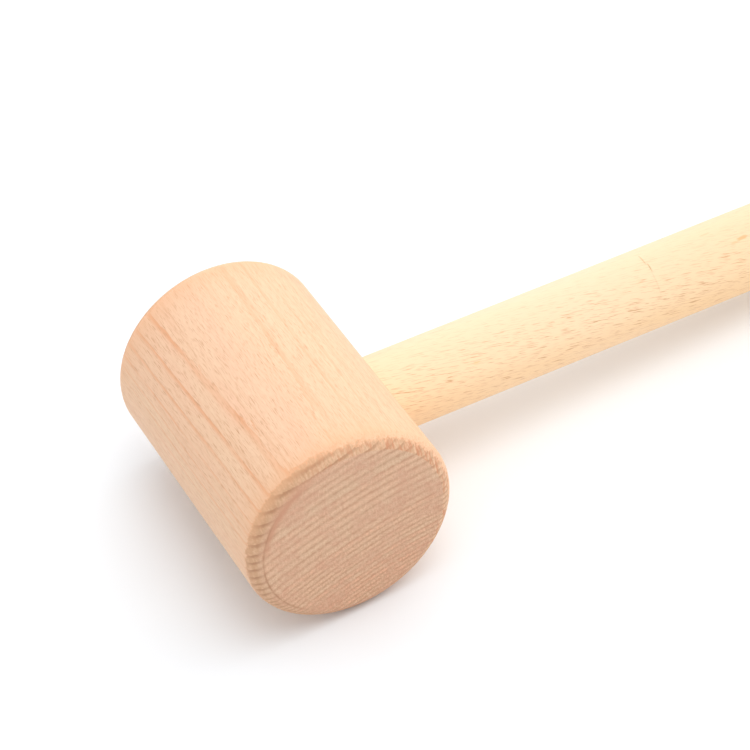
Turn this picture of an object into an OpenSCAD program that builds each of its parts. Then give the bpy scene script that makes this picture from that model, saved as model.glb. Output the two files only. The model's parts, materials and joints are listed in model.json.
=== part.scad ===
// Round-headed wooden mallet: a turned beech head, bored part-way through from one side,
// and a straight dowel handle glued and fox-wedged into that blind socket.
//
// Every piece is drawn in the tool's own axes and then laid down as the mallet lies on a bench:
//   tool axes   X runs from the head's centre along the handle, Y along the head
//   row axes    +X towards the handle's free end, +Y along the head, +Z up,
//               origin on the bench below the middle of the mallet's bounding box

/* [Head] */
// Diameter of the turned head
head_d = 65; // [56:1:80]
// Length of the head from one striking face to the other
head_l = 92; // [70:1:120]
// Radius of the round between each striking face and the side
head_edge = 4.2; // [1:0.2:8]

/* [Handle] */
// Overall length of the mallet, from the head's far side to the handle's free end
overall_l = 300; // [240:5:360]
// Diameter of the straight handle
handle_d = 25; // [20:0.5:28]
// Radius of the round at the handle's free end
handle_edge = 3; // [1:0.5:5]

/* [Blind socket] */
// Wood left between the socket's floor and the far side of the head
socket_backing = 14; // [10:1:20]
// Gap left between the end of the tenon and the socket's floor
socket_gap = 1; // [0.5:0.25:2]
// Thickness of the glue between the tenon and the socket's wall
glue_t = 0.15; // [0.1:0.05:0.3]
// How far the glue stops short of the head's outside
glue_recess = 0.4; // [0.2:0.1:1]
// Chamfer that leads the tenon into the socket
tenon_chamfer = 1.5; // [0.5:0.5:3]
// Length of thinner tenon left showing between the head's side and the full-size grip
shoulder_gap = 0.5; // [0.3:0.1:1]

/* [Fox wedge] */
// Length of the wedge, thick end on the socket's floor
wedge_l = 24; // [16:1:26]
// Thickness of the wedge at its thick end
wedge_t = 3.6; // [2.5:0.1:5]
// Width of the wedge across the tenon
wedge_w = 19; // [12:0.5:19]
// Width of the saw kerf, and of the wedge's thin end
kerf_w = 1.4; // [1:0.1:2]
// Length of the kerf beyond the wedge's thin end
kerf_spare = 6; // [2:1:8]

/* [Hidden] */
$fn = 120;

// How far a cutting shape runs past the surface it cuts
overrun = 1;

head_r = head_d / 2;
handle_r = handle_d / 2;
socket_r = handle_r;
tenon_r = socket_r - glue_t;

// Stations along the handle, measured from the head's centre
socket_floor_x = socket_backing - head_r;
tenon_end_x = socket_floor_x + socket_gap;
wedge_tip_x = socket_floor_x + wedge_l;
kerf_root_x = wedge_tip_x + kerf_spare;
grip_start_x = head_r + shoulder_gap;
free_end_x = overall_l - head_r;
grip_end_x = free_end_x - handle_edge;

// The head lies on its side and the handle dips until its free end touches the bench
tip_drop = head_r - handle_edge;
tip_core = [grip_end_x, handle_r - handle_edge];
tilt = asin(tip_drop / norm(tip_core)) - atan2(tip_core.y, tip_core.x);

// The bounding box runs from the head's far side to the upper edge of the free end
box_far_x = tip_core.x * cos(tilt) + tip_core.y * sin(tilt) + handle_edge;
head_x = (head_r - box_far_x) / 2;

// Puts a piece from the tool's axes into its place on the bench
module laid() {
    translate([head_x, 0, head_r])
        rotate([0, tilt, 0])
            children();
}

// Turns a shape drawn along +Z so that it runs along +X, the handle's axis
module along_handle() {
    rotate([0, 90, 0]) children();
}

// Turns a shape drawn along Z so that it runs along Y, the head's axis
module along_head() {
    rotate([90, 0, 0]) children();
}

// Half outline of the head: a bar with both corners rounded, centred on its length
module head_outline() {
    core_l = head_l - 2 * head_edge;
    translate([0, -head_l / 2]) square([head_r - head_edge, head_l]);
    translate([0, -core_l / 2]) square([head_r, core_l]);
    for (y = [-core_l / 2, core_l / 2])
        translate([head_r - head_edge, y]) circle(head_edge);
}

// Half outline of the handle: chamfered tenon, straight grip, rounded free end
module handle_outline() {
    polygon([
        [0, tenon_end_x],
        [tenon_r - tenon_chamfer, tenon_end_x],
        [tenon_r, tenon_end_x + tenon_chamfer],
        [tenon_r, grip_start_x],
        [0, grip_start_x],
    ]);
    translate([0, grip_start_x]) square([handle_r, grip_end_x - grip_start_x]);
    translate([0, grip_end_x]) square([handle_r - handle_edge, handle_edge]);
    translate([handle_r - handle_edge, grip_end_x]) circle(handle_edge);
}

// Side view of the driven wedge, which spreads the tenon along the head's grain
module wedge_outline() {
    polygon([
        [socket_floor_x, -wedge_t / 2],
        [socket_floor_x, wedge_t / 2],
        [wedge_tip_x, kerf_w / 2],
        [wedge_tip_x, -kerf_w / 2],
    ]);
}

// The saw kerf as the driven wedge holds it open, right across the tenon
module kerf() {
    linear_extrude(handle_d + 2 * overrun, center = true) {
        wedge_outline();
        translate([wedge_tip_x - overrun, -kerf_w / 2])
            square([kerf_spare + overrun, kerf_w]);
    }
}

// Turned beech head with its blind socket
module head() {
    color([0.93, 0.78, 0.62])
        laid() difference() {
            along_head() rotate_extrude() head_outline();
            translate([socket_floor_x, 0, 0])
                along_handle() cylinder(r = socket_r, h = head_d);
        }
}

// Straight beech handle with its kerfed tenon
module handle() {
    color([0.96, 0.84, 0.66])
        laid() difference() {
            along_handle() rotate_extrude() handle_outline();
            kerf();
        }
}

// Hardwood fox wedge, out of sight in the kerf
module tenon_wedge() {
    color([0.80, 0.62, 0.44])
        laid() linear_extrude(wedge_w, center = true) wedge_outline();
}

// Cured glue between the tenon and the socket's wall
module glue_film() {
    glue_start_x = tenon_end_x + tenon_chamfer;
    color([0.86, 0.72, 0.42])
        laid() intersection() {
            translate([glue_start_x, 0, 0]) along_handle() difference() {
                cylinder(r = socket_r, h = head_d);
                translate([0, 0, -overrun]) cylinder(r = tenon_r, h = head_d + 2 * overrun);
            }
            along_head() cylinder(r = head_r - glue_recess, h = head_l, center = true);
        }
}

head();
handle();
tenon_wedge();
glue_film();
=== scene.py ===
"""Looks of a round-headed beech mallet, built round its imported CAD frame.

The head and the handle are rebuilt as fine meshes that follow the wood: one field of growth rings
runs through each piece, and it shapes the worn end grain and drives the colours alike. Lengths are
in metres.
"""

import json
import math

import bmesh
import bpy
import numpy as np
from mathutils import Matrix, Vector


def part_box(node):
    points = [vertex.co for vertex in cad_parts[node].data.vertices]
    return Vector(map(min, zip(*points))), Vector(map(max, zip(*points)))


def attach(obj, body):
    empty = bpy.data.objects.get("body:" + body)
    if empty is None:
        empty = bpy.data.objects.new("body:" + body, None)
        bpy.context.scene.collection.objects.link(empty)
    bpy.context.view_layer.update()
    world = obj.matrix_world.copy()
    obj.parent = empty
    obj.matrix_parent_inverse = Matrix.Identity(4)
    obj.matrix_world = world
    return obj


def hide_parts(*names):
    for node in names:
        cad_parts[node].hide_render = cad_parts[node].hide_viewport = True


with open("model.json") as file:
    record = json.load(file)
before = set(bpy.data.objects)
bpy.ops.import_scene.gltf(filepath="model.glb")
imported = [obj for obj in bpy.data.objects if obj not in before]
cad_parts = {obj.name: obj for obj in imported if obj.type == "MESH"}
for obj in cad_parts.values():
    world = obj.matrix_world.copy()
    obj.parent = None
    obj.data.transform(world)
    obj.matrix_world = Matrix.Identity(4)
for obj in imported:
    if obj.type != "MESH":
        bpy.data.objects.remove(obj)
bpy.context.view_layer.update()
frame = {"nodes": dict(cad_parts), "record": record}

MM = 0.001

# ---------------------------------------------------------------- the frame's own sizes

HEAD_LOW, HEAD_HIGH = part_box("head")
HEAD_CENTRE = (HEAD_LOW + HEAD_HIGH) / 2
HEAD_RADIUS = (HEAD_HIGH.z - HEAD_LOW.z) / 2
HEAD_LENGTH = HEAD_HIGH.y - HEAD_LOW.y

GRIP = next(m for m in frame["record"]["mounts"] if m["name"] == "grip")
HANDLE_AXIS = Vector(GRIP["axis"]).normalized()
HANDLE_RADIUS = GRIP["dims"]["r_mm"] * MM
GRIP_LENGTH = GRIP["dims"]["length_mm"] * MM
GRIP_MIDDLE = (Vector(GRIP["pos_m"]) - HEAD_CENTRE).dot(HANDLE_AXIS)
GRIP_START = GRIP_MIDDLE - GRIP_LENGTH / 2
GRIP_END = GRIP_MIDDLE + GRIP_LENGTH / 2

# Sizes of the hidden joint and of the handle's end round, as the CAD source has them
SOCKET_BACKING = 14 * MM
SOCKET_GAP = 1 * MM
GLUE = 0.15 * MM
TENON_CHAMFER = 1.5 * MM
HANDLE_EDGE = 3 * MM
WEDGE_LENGTH = 24 * MM
WEDGE_THICK = 3.6 * MM
KERF = 1.4 * MM
KERF_SPARE = 6 * MM
SOCKET_FLOOR = SOCKET_BACKING - HEAD_RADIUS
# Where the tenon begins to fill out to the grip, just inside the socket's mouth
TENON_TAPER_START = 27 * MM

# The round between a striking face and the side: its reach along the head and in from the side
EDGE_ALONG = 4.6 * MM
EDGE_IN = 4.1 * MM
# How sharply the striking face meets that round, and the tool's line between them
EDGE_CREASE = math.radians(18)
CREASE_WIDTH = 0.3 * MM
CREASE_DEPTH = 0.02 * MM

# Spacing of the rebuilt meshes' points along their outlines
FACE_STEP = 0.55 * MM
SIDE_STEP = 1.6 * MM
HANDLE_STEP = 1.3 * MM
HANDLE_FACE_STEP = 0.6 * MM
TENON_STEP = 2 * MM
# The tenon's end face, by its first point's distance from the axis and the spacing from there
TENON_FACE_START = 2 * MM
TENON_FACE_STEP = 2.5 * MM
# Steps along an end round, and the head round's first point in radians past its crease
EDGE_STEPS = 13
HANDLE_EDGE_STEPS = 8
EDGE_FIRST_TURN = 0.04
# Number of points round each piece
HEAD_SIDES = 448
HANDLE_SIDES = 192
BORE_SIDES = 96
# Faces that meet at more than this angle keep a hard edge
SHARP_ANGLE = math.radians(50)

# ---------------------------------------------------------------- wood

# How far each way from a blank's middle its rings are worked out
RING_REACH = 45 * MM
# Slow waves in the rings, as (lowest, highest) radians a metre round the pith and along the grain
RING_WAVES = 4
RING_WAVE_DEPTH = 0.12 * MM
WAVE_RATES_ROUND = (60, 160)
WAVE_RATES_ALONG = (-30, 30)
# The share of a ring at which its hard late wood stands highest
LATE_WOOD = 0.9


class Wood:
    """Where a blank sat in its tree: the grain's direction, the pith and the growth rings."""

    def __init__(
        self, origin, grain, across, pith, taper, outermost, widths, jitter, seed, blank, spiral
    ):
        """pith is (across, up) from origin; outermost is the distance of the last whole ring's edge
        beyond origin, and widths are (distance beyond origin, ring width). The fibres lie along the
        direction blank, and wind round it by spiral radians a metre."""
        self.origin = np.array(origin)
        self.grain = np.array(grain)
        self.across = np.array(across)
        self.up = np.cross(self.across, self.grain)
        self.pith = pith
        self.taper = taper
        self.blank = Vector(blank)
        self.spiral = spiral
        random = np.random.default_rng(seed)
        edges = [outermost + RING_REACH, outermost]
        while edges[-1] > -RING_REACH:
            width = np.interp(edges[-1], *zip(*widths))
            edges.append(edges[-1] - width * (1 + jitter * random.uniform(-1, 1)))
        self.edges = np.array(edges[::-1])
        self.waves = [
            (
                random.uniform(*WAVE_RATES_ROUND),
                random.uniform(*WAVE_RATES_ALONG),
                random.uniform(0, 2 * math.pi),
            )
            for _ in range(RING_WAVES)
        ]

    def coordinates(self, points):
        """Across the rays, along the grain and outward through the rings, for each point."""
        local = points - self.origin
        along = local @ self.grain
        x = local @ self.across - self.pith[0]
        z = local @ self.up - self.pith[1]
        pith_distance = math.hypot(*self.pith)
        outward = np.hypot(x, z) - pith_distance + self.taper * along
        round_the_pith = np.arctan2(x, z) * pith_distance
        for across_rate, along_rate, phase in self.waves:
            wave = np.sin(across_rate * round_the_pith + along_rate * along + phase)
            outward = outward + RING_WAVE_DEPTH * wave
        return np.stack([round_the_pith, along, outward], 1)

    def rings(self, outward):
        """The ring that a distance falls in, as a whole number and the share grown."""
        return np.interp(outward, self.edges, np.arange(len(self.edges)))

    def fibres(self, points):
        """Across, along and up among the fibres, for each point."""
        level = self.across - np.array(self.blank) * self.blank.dot(self.across)
        across = Vector(level).normalized()
        local = points - self.origin
        x = local @ np.array(across)
        z = local @ np.array(across.cross(self.blank))
        along = local @ np.array(self.blank)
        turn = self.spiral * along
        return np.stack(
            [x * np.cos(turn) + z * np.sin(turn), along, z * np.cos(turn) - x * np.sin(turn)], 1
        )


HEAD_WOOD = Wood(
    origin=HEAD_CENTRE,
    grain=(0, 1, 0),
    across=(1, 0, 0),
    pith=(32 * MM, -161 * MM),
    taper=0.012,
    outermost=31.1 * MM,
    widths=((-13 * MM, 1.6 * MM), (-7 * MM, 1.9 * MM), (1 * MM, 2.6 * MM), (30 * MM, 2.8 * MM)),
    jitter=0.13,
    seed=11,
    blank=(0, 1, 0),
    spiral=0,
)
# The handle's rings face the front, and its fibres wind down round it towards the free end
HANDLE_GRAIN = (HANDLE_AXIS + Vector((0, 0, -0.02))).normalized()
HANDLE_OUT = Vector((0, -0.95, 0.31))
HANDLE_SPIRAL = -math.tan(math.radians(11)) / HANDLE_RADIUS
HANDLE_WOOD = Wood(
    origin=HEAD_CENTRE + HANDLE_AXIS * GRIP_MIDDLE,
    grain=HANDLE_GRAIN,
    across=HANDLE_GRAIN.cross(HANDLE_OUT).normalized(),
    pith=(6 * MM, -90 * MM),
    taper=0.004,
    outermost=14 * MM,
    widths=((-20 * MM, 2.4 * MM), (20 * MM, 3.0 * MM)),
    jitter=0.2,
    seed=5,
    blank=HANDLE_AXIS,
    spiral=HANDLE_SPIRAL,
)

# ---------------------------------------------------------------- mesh building


def arc(steps, start, stop):
    """Angles of an arc's points, both ends included."""
    return [start + (stop - start) * i / steps for i in range(steps + 1)]


def spaced(start, stop, step):
    """Evenly spaced stations from start up to but without stop, about a step apart."""
    count = max(1, round(abs(stop - start) / step))
    return [start + (stop - start) * i / count for i in range(count)]


def revolve(name, outline, axis_point, axis, sides):
    """A closed mesh turned about an axis from (radius, station) points, with both ends on it."""
    axis = Vector(axis).normalized()
    side = axis.cross(Vector((0, 0, 1)) if abs(axis.z) < 0.9 else Vector((0, 1, 0))).normalized()
    top = side.cross(axis)
    turn = np.linspace(0, 2 * math.pi, sides, endpoint=False)
    spokes = np.outer(np.cos(turn), top) + np.outer(np.sin(turn), side)
    middle = outline[1:-1]
    rows = [np.array(axis_point) + np.array(axis) * s + spokes * r for r, s in middle]
    ends = [np.array(axis_point) + np.array(axis) * outline[i][1] for i in (0, -1)]
    vertices = np.concatenate([[ends[0]], *rows, [ends[1]]])
    last = len(vertices) - 1
    faces = []
    for i in range(sides):
        j = (i + 1) % sides
        faces.append((0, 1 + j, 1 + i))
        faces.append((last, last - sides + i, last - sides + j))
        for row in range(len(middle) - 1):
            a = 1 + row * sides
            faces.append((a + i, a + j, a + sides + j, a + sides + i))
    mesh = bpy.data.meshes.new(name)
    mesh.from_pydata(vertices.tolist(), [], faces)
    mesh.update()
    piece = bpy.data.objects.new(name, mesh)
    bpy.context.scene.collection.objects.link(piece)
    return piece


def prism(name, outline, height):
    """A closed bar with an outline in X and Y, centred on its height along Z."""
    shape = bmesh.new()
    bottom = [shape.verts.new((x, y, -height / 2)) for x, y in outline]
    top = [shape.verts.new((x, y, height / 2)) for x, y in outline]
    shape.faces.new(bottom[::-1])
    shape.faces.new(top)
    for i in range(len(outline)):
        j = (i + 1) % len(outline)
        shape.faces.new((bottom[i], bottom[j], top[j], top[i]))
    mesh = bpy.data.meshes.new(name)
    shape.to_mesh(mesh)
    shape.free()
    piece = bpy.data.objects.new(name, mesh)
    bpy.context.scene.collection.objects.link(piece)
    return piece


def cut(piece, cutter):
    """Takes the cutter's shape out of a piece, and removes the cutter."""
    boolean = piece.modifiers.new("cut", "BOOLEAN")
    boolean.operation = "DIFFERENCE"
    boolean.solver = "EXACT"
    boolean.object = cutter
    bpy.context.view_layer.update()
    evaluated = piece.evaluated_get(bpy.context.evaluated_depsgraph_get())
    made = bpy.data.meshes.new_from_object(evaluated)
    piece.modifiers.clear()
    piece.data = made
    bpy.data.objects.remove(cutter)


def points_of(mesh):
    """The mesh's points, one row each."""
    points = np.empty(len(mesh.vertices) * 3)
    mesh.vertices.foreach_get("co", points)
    return points.reshape(-1, 3)


def normals_of(mesh):
    """The directions that the mesh's points face, one row each."""
    normals = np.empty(len(mesh.vertices) * 3)
    mesh.vertices.foreach_get("normal", normals)
    return normals.reshape(-1, 3)


def smooth(low, high, x):
    """0 up to low and 1 from high on, with a soft rise between them."""
    t = np.clip((x - low) / (high - low), 0, 1)
    return t * t * (3 - 2 * t)


def store(mesh, name, values):
    """Keeps a number or a vector for each point of a mesh, for its material to read."""
    vectors = values.ndim == 2
    held = mesh.attributes.new(name, "FLOAT_VECTOR" if vectors else "FLOAT", "POINT")
    held.data.foreach_set("vector" if vectors else "value", values.astype(np.float32).ravel())


def ring_relief(share):
    """Height of worn wood through one ring, 0 where it is softest and 1 on the hard late wood."""
    fall = 1 - (share - LATE_WOOD) / (1 - LATE_WOOD)
    return np.where(share < LATE_WOOD, (share / LATE_WOOD) ** 2, fall)


# How squarely a surface faces along the grain where it begins and ends to count as a round, as a
# face cut across the grain, and as free of the round's painted light
ROUND_FACING = (0.2, 0.5)
FACE_FACING = (0.93, 0.99)
PAINTED_LIGHT_FACING = (0.93, 0.98)


def wear(piece, wood, depth_face, depth_edge, depth_side, painted_light=None):
    """Lowers the soft early wood of each ring: on faces cut across the grain, on the rounds that
    lead up to them, and on the side. Keeps how squarely each point faces along the grain, lowered
    where the last argument paints light onto a round, so that the round's lit part shows the
    lighter side-grain colour further in."""
    points = points_of(piece.data)
    normals = normals_of(piece.data)
    facing = np.abs(normals @ wood.grain)
    # Painted light: the lit part of the head's round counts as facing less along the grain, so it
    # takes the lighter side-grain colour
    hidden = 0 if painted_light is None else painted_light(points) * (1 - smooth(*PAINTED_LIGHT_FACING, facing))
    store(piece.data, "facing", facing - hidden)
    rings = wood.rings(wood.coordinates(points)[:, 2])
    edge = smooth(*ROUND_FACING, facing)
    face = smooth(*FACE_FACING, facing)
    depth = depth_side + (depth_edge - depth_side) * edge + (depth_face - depth_edge) * face
    points -= normals * ((1 - ring_relief(rings % 1)) * depth)[:, None]
    piece.data.vertices.foreach_set("co", points.ravel())
    piece.data.update()


def mark_wood(piece, wood):
    """Stores where each point lies in its tree and its fibres, for the material to read."""
    points = points_of(piece.data)
    coordinates = wood.coordinates(points)
    store(piece.data, "tree", coordinates)
    store(piece.data, "fibres", wood.fibres(points))
    store(piece.data, "rings", wood.rings(coordinates[:, 2]))


def smooth_shaded(piece):
    """Smooth shading, with a hard edge wherever faces meet at more than the sharp angle."""
    piece.data.shade_smooth()
    piece.data.set_sharp_from_angle(angle=SHARP_ANGLE)


# ---------------------------------------------------------------- materials


def per_mm(across, along, outward):
    """How many times a pattern repeats per metre, from its size in millimetres each way."""
    return (1 / (across * MM), 1 / (along * MM), 1 / (outward * MM))


# A Mix node's sockets for colours: its two inputs and its output
MIX_COLOURS = (6, 7)
MIX_RESULT = 2


class Shader:
    """Builds a material's node tree from function calls."""

    def __init__(self, name):
        self.material = bpy.data.materials.new(name)
        self.material.use_nodes = True
        self.tree = self.material.node_tree
        self.bsdf = self.tree.nodes["Principled BSDF"]

    def put(self, socket, value):
        """Links a node's output to a socket, or sets the socket to a plain value."""
        if isinstance(value, bpy.types.NodeSocket):
            self.tree.links.new(value, socket)
        else:
            socket.default_value = value

    def node(self, kind, *inputs, **settings):
        """A node with its first inputs filled in order, and its own settings by name."""
        made = self.tree.nodes.new(kind)
        for key, value in settings.items():
            setattr(made, key, value)
        for key, value in enumerate(inputs):
            if value is not None:
                self.put(made.inputs[key], value)
        return made

    def attribute(self, name):
        """What the mesh stores for each point under a name."""
        return self.node("ShaderNodeAttribute", attribute_name=name)

    def math(self, operation, *inputs, clamp=False):
        """A number worked out from other numbers or outputs."""
        return self.node("ShaderNodeMath", *inputs, operation=operation, use_clamp=clamp).outputs[0]

    def noise(self, place, size, detail=2.0, roughness=0.5):
        """Noise with blobs of a size in millimetres each way, from 0 to 1 and mostly near 0.5."""
        stretched = self.node("ShaderNodeVectorMath", place, operation="MULTIPLY")
        stretched.inputs[1].default_value = per_mm(*size)
        made = self.node("ShaderNodeTexNoise", stretched.outputs[0])
        made.inputs["Scale"].default_value = 1.0
        made.inputs["Detail"].default_value = detail
        made.inputs["Roughness"].default_value = roughness
        return made.outputs["Fac"]

    def remap(self, value, low, high, to_low=0.0, to_high=1.0):
        """Goes softly from to_low to to_high while the value goes from low to high."""
        made = self.node("ShaderNodeMapRange", value, interpolation_type="SMOOTHSTEP")
        made.inputs["From Min"].default_value = low
        made.inputs["From Max"].default_value = high
        made.inputs["To Min"].default_value = to_low
        made.inputs["To Max"].default_value = to_high
        return made.outputs[0]

    def ramp(self, value, stops):
        """A colour that changes with a value from 0 to 1, through (position, colour) stops."""
        made = self.node("ShaderNodeValToRGB", value)
        elements = made.color_ramp.elements
        while len(elements) < len(stops):
            elements.new(1.0)
        for element, (position, colour) in zip(elements, stops):
            element.position = position
            element.color = (*colour, 1.0)
        return made.outputs[0]

    def bands(self, value, stops):
        """A colour ramp whose stops are given in the value's own units."""
        low, high = stops[0][0], stops[-1][0]
        share = self.node("ShaderNodeMapRange", value)
        share.inputs["From Min"].default_value = low
        share.inputs["From Max"].default_value = high
        return self.ramp(share.outputs[0], [((v - low) / (high - low), c) for v, c in stops])

    def levels(self, value, stops):
        """A number that changes with another, through (value, number) stops."""
        return self.bands(value, [(at, (number,) * 3) for at, number in stops])

    def mix(self, share, below, above, blend="MIX"):
        """Lays one colour over another by a share from 0 to 1."""
        made = self.tree.nodes.new("ShaderNodeMix")
        made.data_type = "RGBA"
        made.blend_type = blend
        self.put(made.inputs[0], share)
        for key, value in zip(MIX_COLOURS, (below, above)):
            if isinstance(value, tuple):
                value = (*value, 1.0)
            self.put(made.inputs[key], value)
        return made.outputs[MIX_RESULT]

    def bump(self, height, distance, strength):
        """Fine relief, a distance high where the height is 1."""
        made = self.tree.nodes.new("ShaderNodeBump")
        made.inputs["Strength"].default_value = strength
        made.inputs["Distance"].default_value = distance
        self.put(made.inputs["Height"], height)
        return made.outputs[0]


# Sizes in millimetres of the wood's patterns: across the rays, along the fibres and outward
PATCH_SIZE = (8, 34, 6)
STREAK_SIZE = (0.9, 60, 0.9)
RING_FADE_SIZE = (2.5, 22, 2.5)
FIBRE_SIZE = (0.2, 3.0, 0.2)
ZONE_SIZE = (10, 60, 7)
CLOUD_SIZE = (1.7, 20, 1.3)
PORE_SIZE = (0.42, 14, 0.38)
END_RAY_SIZE = (0.4, 3, 2.2)
WAVER_SIZE = (1.2, 9, 2.0)
VESSEL_SIZE = (0.45, 6, 0.45)
EDGE_RAY_SIZE = (0.55, 6, 3.5)
RAG_SIZE = (1.3, 30, 1.3)
TOOTH_SIZE = (0.8, 8, 4)
CREASE_PATCH_SIZE = (2.5, 2.5, 2.5)
# How strongly ring lines waver, in shares of a ring, on the side and on end grain
WAVER = (0.06, 0.4)
# The bare wood's roughness on soft and hard fibres, its gloss, and its fine relief
WOOD_ROUGHNESS = (0.52, 0.68)
WOOD_SPECULAR = 0.35
GRAIN_RELIEF = 0.04 * MM
GRAIN_BUMP = 0.7
# What flecks, fibres and a round's vessels add to that relief
FLECK_HEIGHT = -0.35
FIBRE_HEIGHT = 0.8
VESSEL_HEIGHT = 0.8


def dashes(s, fibre, size, low, high):
    """Thin dashes along the grain, where the ends of the wood's rays come to the surface."""
    return s.remap(s.noise(fibre, size, detail=1.0, roughness=0.4), low, high)


def side_grain(s, across, outward, fibre, share, look):
    """Colour of wood cut along its grain, and where its dashes and fibres lie."""
    tones, depths = s.bands(across, look["tones"]), s.bands(outward, look["depths"])
    colour = s.mix(1.0, tones, depths, blend="MULTIPLY")
    patches = s.remap(s.noise(fibre, PATCH_SIZE, detail=3.0, roughness=0.55), 0.38, 0.62)
    patches = s.math("MULTIPLY", patches, s.levels(across, look["patches"]))
    colour = s.mix(patches, colour, look["pink"])
    streaks = s.remap(s.noise(fibre, STREAK_SIZE, detail=2.0, roughness=0.6), 0.42, 0.75)
    streaks = s.math("MULTIPLY", streaks, s.levels(across, look["streaks"]))
    colour = s.mix(streaks, colour, look["late"])
    line = s.math("MULTIPLY", s.remap(share, 0.7, 1.0), s.levels(across, look["ring_lines"]))
    fading = s.noise(fibre, RING_FADE_SIZE, detail=3.0, roughness=0.6)
    line = s.math("MULTIPLY", line, s.remap(fading, 0.36, 0.64, 0.4, 1.3))
    colour = s.mix(line, colour, look["ring_line"])
    fibres = s.noise(fibre, FIBRE_SIZE, detail=2.0, roughness=0.7)
    colour = s.mix(s.remap(fibres, 0.35, 0.75, 0.0, look["fibre"]), colour, look["late"])
    fine = dashes(s, fibre, look["fine_size"], 0.54, 0.70)
    bold = dashes(s, fibre, look["fleck_size"], 0.62, 0.73)
    shown = s.math("MULTIPLY_ADD", fine, look["fine"], bold)
    shown = s.math("MULTIPLY", shown, s.levels(across, look["flecks"]), clamp=True)
    colour = s.mix(shown, colour, look["fleck"])
    return colour, shown, fibres


def end_grain(s, outward, fibre, share, ring_tone, look):
    """Colour of wood cut across its grain: soft bands from ring to ring, pores and fine rays."""
    early, late = look["end_early"], look["end_late"]
    between = tuple(0.5 * a + 0.5 * b for a, b in zip(early, late))
    light_part = [(0.0, between), (0.25, early), (0.5, early)]
    dark_part = [(0.82, late), (0.93, late), (1.0, between)]
    bands = s.ramp(share, light_part + dark_part)
    colour = s.mix(s.levels(outward, look["end_contrast"]), between, bands)
    colour = s.mix(1.0, colour, s.mix(ring_tone, *look["end_tints"]), blend="MULTIPLY")
    colour = s.mix(1.0, colour, s.bands(outward, look["end_tones"]), blend="MULTIPLY")
    zones = s.noise(fibre, ZONE_SIZE, detail=4.0, roughness=0.65)
    colour = s.mix(s.remap(zones, 0.42, 0.64, 0.0, 0.8), colour, look["end_zone"])
    clouds = s.noise(fibre, CLOUD_SIZE, detail=3.0, roughness=0.6)
    colour = s.mix(s.remap(clouds, 0.38, 0.66, 0.0, 0.5), colour, look["end_cloud"])
    pores = s.remap(s.noise(fibre, PORE_SIZE, detail=2.0, roughness=0.8), 0.38, 0.64)
    pores = s.math("MULTIPLY", pores, s.levels(outward, look["end_pores"]))
    colour = s.mix(pores, colour, late)
    rays = s.noise(fibre, END_RAY_SIZE, detail=1.0, roughness=0.5)
    return s.mix(s.remap(rays, 0.5, 0.75, 0.0, 0.25), colour, early)


def round_grain(s, across, fibre, share, facing, look):
    """Colour of a round, where fibres are cut aslant and ring lines are burnt in, how far it has
    taken over from the side, past a ragged border, and where its vessels lie."""
    vessels = s.noise(fibre, VESSEL_SIZE, detail=2.0, roughness=0.6)
    rays = s.noise(fibre, EDGE_RAY_SIZE, detail=2.0, roughness=0.6)
    vessel_shade = s.remap(vessels, 0.3, 0.7, -0.2, 0.2)
    ray_shade = s.remap(rays, 0.35, 0.65, -0.2, 0.2)
    shade = s.math("ADD", vessel_shade, ray_shade)
    shade = s.math("ADD", shade, s.levels(across, look["edge_shade"]), clamp=True)
    colour = s.mix(shade, look["edge_light"], look["edge_dark"])
    ring_line = s.math("MULTIPLY", s.remap(share, 0.45, 0.83), s.remap(share, 1.0, 0.88))
    ring_line = s.math("MULTIPLY", ring_line, s.remap(facing, 0.3, 0.75, *look["edge_lines"]))
    colour = s.mix(ring_line, colour, look["edge_line"])
    teeth = s.remap(s.noise(fibre, TOOTH_SIZE, detail=2.0, roughness=0.7), 0.45, 0.64)
    teeth = s.math("MULTIPLY", teeth, s.levels(across, look["teeth"]))
    colour = s.mix(teeth, colour, look["tooth"])

    rag = s.math("SUBTRACT", 0.5, s.noise(fibre, RAG_SIZE, detail=3.0, roughness=0.7))
    rag = s.math("MULTIPLY", rag, s.levels(across, look["rag"]))
    ragged = s.math("ADD", s.math("MULTIPLY_ADD", share, -0.12, facing), rag)
    slant = s.remap(ragged, 0.14, 0.32)
    return colour, slant, vessels


def beech(name, look):
    """Bare sanded beech: growth rings, ray flecks and fibres on the side, lined end grain across.

    A look's lists hold (distance across the rays, value) stops. Its depths, end_contrast, end_tones
    and end_pores go outward through the rings instead, and its lengths go along the grain."""
    s = Shader(name)
    tree = s.node("ShaderNodeSeparateXYZ", s.attribute("tree").outputs["Vector"])
    across, outward = tree.outputs[0], tree.outputs[2]
    fibre = s.attribute("fibres").outputs["Vector"]
    rings = s.attribute("rings").outputs["Fac"]
    facing = s.attribute("facing").outputs["Fac"]

    # Ring lines waver a little from fibre to fibre, and least where they run along the side
    fibre_wave = s.math("SUBTRACT", s.noise(fibre, WAVER_SIZE, detail=3.0, roughness=0.6), 0.5)
    waver = s.math("MULTIPLY", fibre_wave, s.remap(facing, 0, 0.6, *WAVER))
    wavering = s.math("ADD", rings, waver)
    share = s.math("FRACT", wavering)
    each_ring = s.node("ShaderNodeTexWhiteNoise", noise_dimensions="1D")
    s.put(each_ring.inputs["W"], s.math("FLOOR", wavering))
    ring_tone = each_ring.outputs["Value"]

    side, flecks, fibres = side_grain(s, across, outward, fibre, share, look)
    end = end_grain(s, outward, fibre, share, ring_tone, look)
    edge, slant, vessels = round_grain(s, across, fibre, share, facing, look)
    border = s.math("MULTIPLY", s.math("PINGPONG", slant, 0.5), s.levels(across, look["borders"]))
    colour = s.mix(slant, side, edge)
    colour = s.mix(border, colour, look["border"])
    colour = s.mix(s.remap(facing, 0.80, 0.985), colour, end)
    return s, colour, flecks, fibres, s.math("MULTIPLY", vessels, slant)


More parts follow.
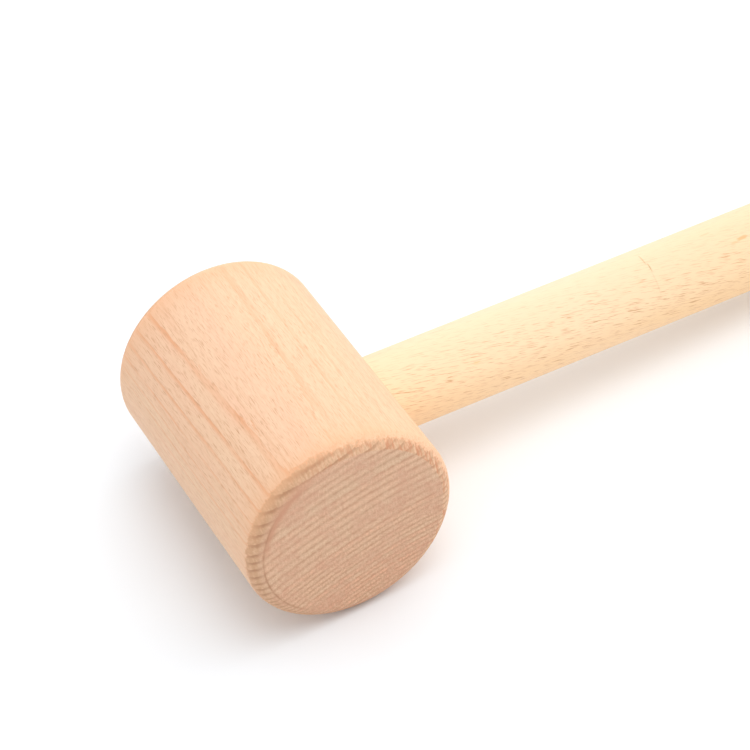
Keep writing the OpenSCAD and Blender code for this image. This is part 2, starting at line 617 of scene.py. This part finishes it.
def finish_wood(s, colour, flecks, fibres, slant_fibres):
    """Joins a wood's colour, roughness and fine relief to its surface."""
    s.put(s.bsdf.inputs["Base Color"], colour)
    fine = s.math("MULTIPLY_ADD", flecks, FLECK_HEIGHT, s.math("MULTIPLY", fibres, FIBRE_HEIGHT))
    height = s.math("MULTIPLY_ADD", slant_fibres, VESSEL_HEIGHT, fine)
    s.put(s.bsdf.inputs["Normal"], s.bump(height, GRAIN_RELIEF, GRAIN_BUMP))
    s.put(s.bsdf.inputs["Roughness"], s.remap(fibres, 0.3, 0.7, *WOOD_ROUGHNESS))
    s.bsdf.inputs["Specular IOR Level"].default_value = WOOD_SPECULAR
    return s.material


def head_beech():
    """The head's beech: rosier on one side, and marked by the tool at its ends."""
    look = {
        # across the rays, from the side away from the handle
        "tones": [
            (-64 * MM, (0.853, 0.592, 0.398)),
            (-50 * MM, (0.867, 0.592, 0.394)),
            (-41 * MM, (0.885, 0.595, 0.400)),
            (-34 * MM, (0.890, 0.602, 0.412)),
            (-26 * MM, (0.880, 0.600, 0.398)),
            (-5 * MM, (0.880, 0.582, 0.374)),
        ],
        "depths": [(-12 * MM, (0.98, 0.97, 0.96)), (12 * MM, (1,) * 3)],
        "patches": [
            (-64 * MM, 0.2),
            (-45 * MM, 0.4),
            (-32 * MM, 0.5),
            (-24 * MM, 0.15),
            (0, 0.1),
        ],
        "pink": (0.890, 0.530, 0.360),
        "streaks": [
            (-64 * MM, 0.45),
            (-40 * MM, 0.55),
            (-30 * MM, 0.32),
            (-22 * MM, 0.48),
            (0, 0.42),
        ],
        "late": (0.770, 0.450, 0.270),
        "ring_lines": [
            (-64 * MM, 0.4),
            (-44 * MM, 0.85),
            (-38 * MM, 0.85),
            (-28 * MM, 0.45),
            (0, 0.2),
        ],
        "ring_line": (0.810, 0.400, 0.215),
        "fibre": 0.42,
        "flecks": [
            (-64 * MM, 0.4),
            (-46 * MM, 0.6),
            (-34 * MM, 0.5),
            (-24 * MM, 0.5),
            (-5 * MM, 0.5),
        ],
        "fleck": (0.610, 0.315, 0.170),
        "fine": 0.75,
        "fine_size": (0.24, 3.2, 0.30),
        "fleck_size": (0.27, 3.8, 0.36),
        "end_early": (0.828, 0.563, 0.378),
        "end_late": (0.525, 0.275, 0.165),
        "end_contrast": [(-28 * MM, 1.0), (-8 * MM, 0.82), (6 * MM, 0.68)],
        "end_tints": ((0.95, 1.01, 0.99), (1.02, 0.93, 0.90)),
        "end_tones": [
            (-28 * MM, (1.0, 0.93, 0.91)),
            (-6 * MM, (1.0, 0.98, 0.97)),
            (6 * MM, (1,) * 3),
        ],
        "end_pores": [(-28 * MM, 0.85), (-8 * MM, 0.7), (6 * MM, 0.5)],
        "end_zone": (0.66, 0.360, 0.236),
        "end_cloud": (0.69, 0.460, 0.302),
        "edge_light": (0.84, 0.555, 0.360),
        "edge_dark": (0.61, 0.354, 0.204),
        "edge_shade": [
            (-64 * MM, 0.9),
            (-45 * MM, 0.9),
            (-28 * MM, 0.6),
            (-15 * MM, 0.5),
            (0, 0.5),
        ],
        "edge_lines": (0.4, 0.76),
        "edge_line": (0.43, 0.205, 0.105),
        "rag": [(-64 * MM, 0.6), (-32 * MM, 0.6), (-18 * MM, 0.95), (0, 0.95)],
        "teeth": [(-64 * MM, 0.1), (-40 * MM, 0.2), (-26 * MM, 0.6), (-10 * MM, 1.0), (0, 1.0)],
        "tooth": (0.62, 0.275, 0.145),
        "borders": [(-64 * MM, 0.6), (-45 * MM, 1.2), (-30 * MM, 1.2), (-15 * MM, 0.7), (0, 0.6)],
        "border": (0.85, 0.420, 0.220),
        "warm": (0.86, 0.47, 0.26),
        "warm_share": 0.45,
        "burnt": (0.575, 0.280, 0.168),
        "burnt_share": 0.85,
    }
    s, colour, flecks, fibres, slant_fibres = beech("head_beech", look)
    warm = s.math("MULTIPLY", s.attribute("warm").outputs["Fac"], look["warm_share"])
    colour = s.mix(warm, colour, look["warm"])
    burnt = s.math("MULTIPLY", s.attribute("burnt").outputs["Fac"], look["burnt_share"])
    colour = s.mix(burnt, colour, look["burnt"])
    place = s.node("ShaderNodeTexCoord").outputs["Object"]
    patchy = s.remap(s.noise(place, CREASE_PATCH_SIZE), 0.3, 0.65, 0.45, 0.95)
    crease = s.math("MULTIPLY", s.attribute("crease").outputs["Fac"], patchy)
    colour = s.mix(crease, colour, look["edge_line"])
    return finish_wood(s, colour, flecks, fibres, slant_fibres)


# Small marks on the handle: distance from the head's axis and angle round from the top towards the
# striking face, then size along the handle and round it, strength and colour
SCORE = (0.50, 0.31, 0.12)
KNOT = (0.78, 0.42, 0.16)
HANDLE_MARKS = (
    (122.4, 2, 0.6, 5.0, 0.50, SCORE),
    (122.9, 18, 0.6, 3.6, 0.60, SCORE),
    (122.6, 42, 0.6, 9.0, 0.16, SCORE),
    (154.4, 28, 4.2, 1.3, 0.65, KNOT),
    (151.5, 31, 3.8, 0.9, 0.35, KNOT),
    (144.5, 1, 4.0, 0.9, 0.30, KNOT),
    (60.0, 52, 2.6, 1.0, 0.35, (0.80, 0.55, 0.20)),
)
# How deep a mark reaches into the wood, and the size of the ragged noise round it
MARK_DEPTH = 8 * MM
MARK_RAG_SIZE = (0.5, 2, 0.5)


def handle_mark(s, station, angle, length, width):
    """An oval with a ragged edge on the handle's surface."""
    top = HANDLE_AXIS.cross(Vector((0, 1, 0)))
    outward = top * math.cos(angle) + Vector((0, -1, 0)) * math.sin(angle)
    middle = HEAD_CENTRE + HANDLE_AXIS * station + outward * HANDLE_RADIUS
    place = s.node("ShaderNodeTexCoord").outputs["Object"]
    offset = s.node("ShaderNodeVectorMath", place, operation="SUBTRACT")
    offset.inputs[1].default_value = middle
    squares = []
    for direction, size in (
        (HANDLE_AXIS, length),
        (HANDLE_AXIS.cross(outward), width),
        (outward, MARK_DEPTH),
    ):
        share = s.node("ShaderNodeVectorMath", offset.outputs[0], operation="DOT_PRODUCT")
        share.inputs[1].default_value = direction * 2 / size
        squares.append(s.math("MULTIPLY", share.outputs["Value"], share.outputs["Value"]))
    total = s.math("ADD", s.math("ADD", squares[0], squares[1]), squares[2])
    ragged = s.noise(s.attribute("fibres").outputs["Vector"], MARK_RAG_SIZE)
    total = s.math("MULTIPLY_ADD", ragged, 1.6, total)
    return s.remap(total, 0.8, 2.1, 1.0, 0.0)


def handle_beech():
    """The handle's paler beech, with its small marks and painted light in its tone round it."""
    look = {
        # Painted light: across the rays, from the handle's top to its lower front side, the tone
        # runs from paler, a painted highlight, to more orange, painted warm light
        "tones": [
            (-17.5 * MM, (0.955, 0.697, 0.470)),
            (-11 * MM, (0.970, 0.710, 0.464)),
            (-6 * MM, (0.995, 0.730, 0.465)),
            (-1 * MM, (1.000, 0.695, 0.405)),
        ],
        "depths": [
            (-12 * MM, (0.88, 0.88, 0.86)),
            (-5 * MM, (0.94, 0.94, 0.95)),
            (3 * MM, (1,) * 3),
        ],
        # along the grain, from the grip's middle
        "lengths": [(-100 * MM, (1,) * 3), (-50 * MM, (1, 1, 1.02)), (0, (0.99, 0.97, 0.94))],
        "patches": [(-17 * MM, 0.0), (-8 * MM, 0.1), (-2 * MM, 0.4)],
        "pink": (0.990, 0.700, 0.440),
        "streaks": [(-17 * MM, 0.05), (1 * MM, 0.2)],
        "late": (0.950, 0.680, 0.410),
        "ring_lines": [(-17 * MM, 0.02), (1 * MM, 0.1)],
        "ring_line": (0.950, 0.640, 0.370),
        "fibre": 0.32,
        "flecks": [
            (-17 * MM, 0.25),
            (-14 * MM, 0.45),
            (-10 * MM, 0.75),
            (-6 * MM, 0.95),
            (1 * MM, 0.7),
        ],
        "fleck": (0.690, 0.375, 0.185),
        "fine": 0.55,
        "fine_size": (0.25, 3.6, 0.25),
        "fleck_size": (0.29, 4.6, 0.29),
        "end_contrast": [(-14 * MM, 0.9), (14 * MM, 0.9)],
        "end_early": (0.84, 0.61, 0.41),
        "end_late": (0.68, 0.45, 0.28),
        "end_tints": ((0.97, 1.0, 0.97), (1.0, 0.96, 0.94)),
        "end_tones": [(-14 * MM, (0.98, 0.97, 0.96)), (14 * MM, (1,) * 3)],
        "end_pores": [(-14 * MM, 0.6), (14 * MM, 0.6)],
        "end_zone": (0.76, 0.52, 0.34),
        "end_cloud": (0.76, 0.54, 0.36),
        "edge_light": (0.88, 0.640, 0.420),
        "edge_dark": (0.76, 0.500, 0.310),
        "edge_shade": [(-17 * MM, 0.5), (1 * MM, 0.5)],
        "edge_lines": (0.5, 0.5),
        "edge_line": (0.58, 0.350, 0.200),
        "rag": [(-17 * MM, 0.6), (1 * MM, 0.6)],
        "teeth": [(-17 * MM, 0.3), (1 * MM, 0.3)],
        "tooth": (0.78, 0.460, 0.260),
        "borders": [(-17 * MM, 0.8), (1 * MM, 0.8)],
        "border": (0.86, 0.560, 0.330),
    }
    s, colour, flecks, fibres, slant_fibres = beech("handle_beech", look)
    along = s.node("ShaderNodeSeparateXYZ", s.attribute("tree").outputs["Vector"]).outputs[1]
    colour = s.mix(1.0, colour, s.bands(along, look["lengths"]), blend="MULTIPLY")
    for station, angle, length, width, strength, tint in HANDLE_MARKS:
        mark = handle_mark(s, station * MM, math.radians(angle), length * MM, width * MM)
        colour = s.mix(s.math("MULTIPLY", mark, strength), colour, tint)
    return finish_wood(s, colour, flecks, fibres, slant_fibres)


# Sizes in millimetres of the hidden pieces' patterns, along X, Y and Z
WEDGE_GRAIN_SIZE = (9, 0.5, 0.8)
SAW_MARK_SIZE = (0.4, 6, 6)
GLUE_POOL_SIZE = (4, 4, 4)
# Their lightest and darkest colours
WEDGE_COLOURS = ((0.62, 0.42, 0.26), (0.48, 0.29, 0.16))
GLUE_COLOURS = ((0.80, 0.62, 0.32), (0.62, 0.42, 0.16))
# Depth of the wedge's saw marks
SAW_MARK_DEPTH = 0.1 * MM


def sawn_wood(name, light, dark):
    """Plain sawn hardwood for the hidden wedge: straight grain and saw marks."""
    s = Shader(name)
    place = s.node("ShaderNodeTexCoord").outputs["Object"]
    grain = s.noise(place, WEDGE_GRAIN_SIZE, detail=3.0, roughness=0.6)
    s.put(s.bsdf.inputs["Base Color"], s.mix(s.remap(grain, 0.3, 0.7), light, dark))
    saw = s.noise(place, SAW_MARK_SIZE, detail=1.0)
    s.put(s.bsdf.inputs["Normal"], s.bump(saw, SAW_MARK_DEPTH, 0.5))
    s.put(s.bsdf.inputs["Roughness"], s.remap(grain, 0.3, 0.7, 0.6, 0.75))
    return s.material


def dried_glue(name, thin, thick):
    """Cured amber wood glue, thicker in some places than in others."""
    s = Shader(name)
    place = s.node("ShaderNodeTexCoord").outputs["Object"]
    pools = s.noise(place, GLUE_POOL_SIZE, detail=3.0)
    s.put(s.bsdf.inputs["Base Color"], s.mix(s.remap(pools, 0.35, 0.65), thin, thick))
    s.put(s.bsdf.inputs["Roughness"], s.remap(pools, 0.35, 0.65, 0.25, 0.4))
    return s.material


# ---------------------------------------------------------------- pieces


def head_outline():
    """Half outline of the head from one striking face's centre to the other's."""
    flat = HEAD_RADIUS - EDGE_IN
    half = HEAD_LENGTH / 2
    face = [(r, half) for r in spaced(0, flat - CREASE_WIDTH, FACE_STEP)]
    face += [(flat - CREASE_WIDTH, half), (flat, half - CREASE_DEPTH)]
    # An ellipse that starts at the crease's angle, rescaled to span the round exactly
    start = math.pi / 2 - EDGE_CREASE
    edge = [
        (
            flat + EDGE_IN * (math.cos(a) - math.cos(start)) / (1 - math.cos(start)),
            half - EDGE_ALONG * (1 - math.sin(a) / math.sin(start)),
        )
        for a in [start - EDGE_FIRST_TURN, *arc(EDGE_STEPS, start, 0)[1:]]
    ]
    side = [(HEAD_RADIUS, s) for s in spaced(half - EDGE_ALONG, 0, SIDE_STEP)[1:]]
    one_half = face + edge + side
    return one_half + [(HEAD_RADIUS, 0)] + [(r, -s) for r, s in reversed(one_half)]


def head_turn(points):
    """Angle of each point round the head in degrees: 0 at the top, 90 at the handle."""
    offset = points - np.array(HEAD_CENTRE)
    return np.degrees(np.arctan2(offset[:, 0], offset[:, 2]))


def stretch_of_turns(turn, rise, fall):
    """1 for part of the way round the head, with a soft rise and fall between turns in degrees."""
    return smooth(*rise, turn) * (1 - smooth(*fall, turn))


# How far the round's end grain is held back where its painted light is full
ROUND_PAINTED_LIGHT = 0.40


def round_painted_light(points):
    """Painted light: on the head's lit side, from past the top round to the handle's side and below
    it, the round shows the lighter side-grain colour further in and its end grain later.
    """
    return ROUND_PAINTED_LIGHT * stretch_of_turns(head_turn(points), (-30, 20), (100, 150))


# The tool's marks at each end of the head: half the width of its dark line, how far the burnt zone
# lies inside that line and how wide it is, and how far the warmer wood reaches along the side
CREASE_MARK = 1.3 * CREASE_WIDTH
BURNT_INSET = 0.6 * MM
BURNT_WIDTH = 1.1 * MM
WARM_REACH = 5 * MM
# How deep from a striking face the first two marks go, and how far out from its crease the warmer
# wood begins and is full
FACE_DEPTH = 0.5 * MM
SIDE_START = (EDGE_IN - 2 * MM, EDGE_IN - 0.3 * MM)


def store_tool_marks(head):
    """Marks the tool's line between a striking face and its round, away from the handle, the wood
    that it burnt where the line runs along a ring, and the warmer wood next to the round."""
    points = points_of(head.data)
    offset = points - np.array(HEAD_CENTRE)
    radius = np.hypot(offset[:, 0], offset[:, 2]) - (HEAD_RADIUS - EDGE_IN)
    at_end = np.abs(offset[:, 1]) > HEAD_LENGTH / 2 - FACE_DEPTH
    turn = head_turn(points)
    line = np.clip(1 - np.abs(radius) / CREASE_MARK, 0, 1)
    line_part = stretch_of_turns(turn, (-150, -120), (-62, -40))
    store(head.data, "crease", line * at_end * line_part)
    zone = np.exp(-(((radius + BURNT_INSET) / BURNT_WIDTH) ** 2))
    zone_part = stretch_of_turns(turn, (-85, -62), (-38, -5))
    store(head.data, "burnt", zone * at_end * zone_part)
    past_round = np.clip(HEAD_LENGTH / 2 - EDGE_ALONG - np.abs(offset[:, 1]), 0, None)
    warm = np.exp(-past_round / WARM_REACH) * smooth(*SIDE_START, radius)
    warm_part = 0.3 + 0.7 * stretch_of_turns(turn, (-85, -50), (15, 60))
    store(head.data, "warm", warm * warm_part)


# How deep the soft wood is worn on the faces, the rounds and the side
HEAD_WEAR = (0.01 * MM, 0.03 * MM, 0.008 * MM)
HANDLE_WEAR = (0.03 * MM, 0.05 * MM, 0.008 * MM)


def make_head():
    """The head, with its blind socket bored."""
    head = revolve("mallet_head", head_outline(), HEAD_CENTRE, (0, 1, 0), HEAD_SIDES)
    store_tool_marks(head)
    # The last argument paints light onto the head's round on its lit side
    wear(head, HEAD_WOOD, *HEAD_WEAR, round_painted_light)
    depth = HEAD_RADIUS * 2
    bore = [(0, 0), (HANDLE_RADIUS, 0), (HANDLE_RADIUS, depth), (0, depth)]
    bore = [(r, SOCKET_FLOOR + s) for r, s in bore]
    cut(head, revolve("bore", bore, HEAD_CENTRE, HANDLE_AXIS, BORE_SIDES))
    mark_wood(head, HEAD_WOOD)
    smooth_shaded(head)
    head.data.materials.clear()
    head.data.materials.append(head_beech())
    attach(head, "root")
    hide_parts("head")


def handle_outline():
    """Half outline of the handle from the tenon's end to the free end."""
    start = SOCKET_FLOOR + SOCKET_GAP
    tenon = HANDLE_RADIUS - GLUE
    points = [(0, start)]
    points += [(r, start) for r in spaced(TENON_FACE_START, tenon - TENON_CHAMFER, TENON_FACE_STEP)]
    points += [(tenon - TENON_CHAMFER, start)]
    points += [(tenon, s) for s in spaced(start + TENON_CHAMFER, TENON_TAPER_START, TENON_STEP)]
    points += [(tenon, TENON_TAPER_START)]
    points += [(HANDLE_RADIUS, s) for s in spaced(GRIP_START, GRIP_END, HANDLE_STEP)]
    points += [
        (HANDLE_RADIUS - HANDLE_EDGE * (1 - math.cos(a)), GRIP_END + HANDLE_EDGE * math.sin(a))
        for a in arc(HANDLE_EDGE_STEPS, 0, math.pi / 2)
    ]
    flat = HANDLE_RADIUS - HANDLE_EDGE
    end = GRIP_END + HANDLE_EDGE
    points += [(flat - r, end) for r in spaced(0, flat, HANDLE_FACE_STEP)[1:]]
    points += [(0, end)]
    return points


def make_handle():
    """The handle, with the wedged kerf sawn in its tenon."""
    handle = revolve("mallet_handle", handle_outline(), HEAD_CENTRE, HANDLE_AXIS, HANDLE_SIDES)
    wear(handle, HANDLE_WOOD, *HANDLE_WEAR)
    tip = SOCKET_FLOOR + WEDGE_LENGTH
    kerf = prism(
        "kerf",
        [
            (SOCKET_FLOOR, -WEDGE_THICK / 2),
            (tip, -KERF / 2),
            (tip + KERF_SPARE, -KERF / 2),
            (tip + KERF_SPARE, KERF / 2),
            (tip, KERF / 2),
            (SOCKET_FLOOR, WEDGE_THICK / 2),
        ],
        HANDLE_RADIUS * 3,
    )
    dip = Vector((1, 0, 0)).rotation_difference(HANDLE_AXIS)
    kerf.matrix_world = Matrix.Translation(HEAD_CENTRE) @ dip.to_matrix().to_4x4()
    cut(handle, kerf)
    mark_wood(handle, HANDLE_WOOD)
    smooth_shaded(handle)
    handle.data.materials.clear()
    handle.data.materials.append(handle_beech())
    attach(handle, "root")
    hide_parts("handle")


def paint_cad(node, material):
    """Gives a CAD node that is shown as it is a finished material."""
    piece = frame["nodes"][node]
    piece.data.materials.clear()
    piece.data.materials.append(material)


# ---------------------------------------------------------------- stage

# Half the floor's width, and its colour
FLOOR_HALF = 6.0
FLOOR_COLOUR = (0.88, 0.91, 0.94, 1)


def make_floor():
    """A plain pale floor."""
    mesh = bpy.data.meshes.new("floor")
    corners = [(x * FLOOR_HALF, y * FLOOR_HALF, 0) for x, y in ((-1, -1), (1, -1), (1, 1), (-1, 1))]
    mesh.from_pydata(corners, [], [(0, 1, 2, 3)])
    floor = bpy.data.objects.new("floor", mesh)
    bpy.context.scene.collection.objects.link(floor)
    s = Shader("floor_paper")
    s.bsdf.inputs["Base Color"].default_value = FLOOR_COLOUR
    s.bsdf.inputs["Roughness"].default_value = 0.9
    s.bsdf.inputs["Specular IOR Level"].default_value = 0.1
    mesh.materials.append(s.material)


# The softboxes: name, azimuth, elevation and strength. Azimuth 0 is in front of the striking face
# and 90 at the handle.
SOFTBOXES = (
    ("low_rear", 180, 12, 0.68),
    ("low_rear_left", 225, 12, 0.32),
    ("handle_side", 90, 32, 0.54),
    ("handle_side_rear", 135, 32, 0.48),
    ("high_front", 45, 70, 0.92),
    ("overhead", 0, 90, 0.33),
    ("low_front", 20, 10, 0.20),
)
SOFTBOX_ANGLE = math.radians(45)
ROOM_STRENGTH = 0.65


def soft_light(name, azimuth, elevation, strength):
    """A broad distant softbox."""
    light = bpy.data.lights.new(name, "SUN")
    light.angle = SOFTBOX_ANGLE
    light.energy = strength
    lamp = bpy.data.objects.new(name, light)
    bpy.context.scene.collection.objects.link(lamp)
    az, el = math.radians(azimuth), math.radians(elevation)
    towards = Vector((math.sin(az) * math.cos(el), -math.cos(az) * math.cos(el), math.sin(el)))
    lamp.rotation_mode = "QUATERNION"
    lamp.rotation_quaternion = towards.to_track_quat("Z", "Y")


def make_lights():
    """White light from all round, and the softboxes."""
    world = bpy.data.worlds.new("studio")
    world.use_nodes = True
    background = world.node_tree.nodes["Background"]
    background.inputs["Color"].default_value = (1.0, 1.0, 1.0, 1)
    background.inputs["Strength"].default_value = ROOM_STRENGTH
    bpy.context.scene.world = world
    for softbox in SOFTBOXES:
        soft_light(*softbox)


# Camera, as seen from the head's centre
CAMERA_AZIMUTH = math.radians(-20.86)
CAMERA_ELEVATION = math.radians(44.03)
CAMERA_ROLL = math.radians(-10.10)
CAMERA_DISTANCE = 901 * MM
CAMERA_LENS_MM = 148.39
# How far the camera stands right of and above the line to the head's centre
AIM_RIGHT = 27.2 * MM
AIM_UP = 17.5 * MM


def make_camera():
    """The scene's camera, aimed past the head so that the handle leaves the picture."""
    az, el = CAMERA_AZIMUTH, CAMERA_ELEVATION
    back = Vector((math.sin(az) * math.cos(el), -math.cos(az) * math.cos(el), math.sin(el)))
    level = Vector((math.cos(az), math.sin(az), 0))
    upright = back.cross(level)
    right = level * math.cos(CAMERA_ROLL) + upright * math.sin(CAMERA_ROLL)
    up = upright * math.cos(CAMERA_ROLL) - level * math.sin(CAMERA_ROLL)
    data = bpy.data.cameras.new("camera")
    data.lens = CAMERA_LENS_MM
    data.clip_start, data.clip_end = 0.01, 20
    camera = bpy.data.objects.new("camera", data)
    bpy.context.scene.collection.objects.link(camera)
    place = HEAD_CENTRE + back * CAMERA_DISTANCE + right * AIM_RIGHT + up * AIM_UP
    turn = Matrix((right, up, back)).transposed()
    camera.matrix_world = Matrix.Translation(place) @ turn.to_4x4()
    bpy.context.scene.camera = camera


make_head()
make_handle()
paint_cad("tenon_wedge", sawn_wood("wedge_wood", *WEDGE_COLOURS))
paint_cad("glue_film", dried_glue("dried_glue", *GLUE_COLOURS))
make_floor()
make_lights()
make_camera()
bpy.context.scene.view_settings.view_transform = "Standard"
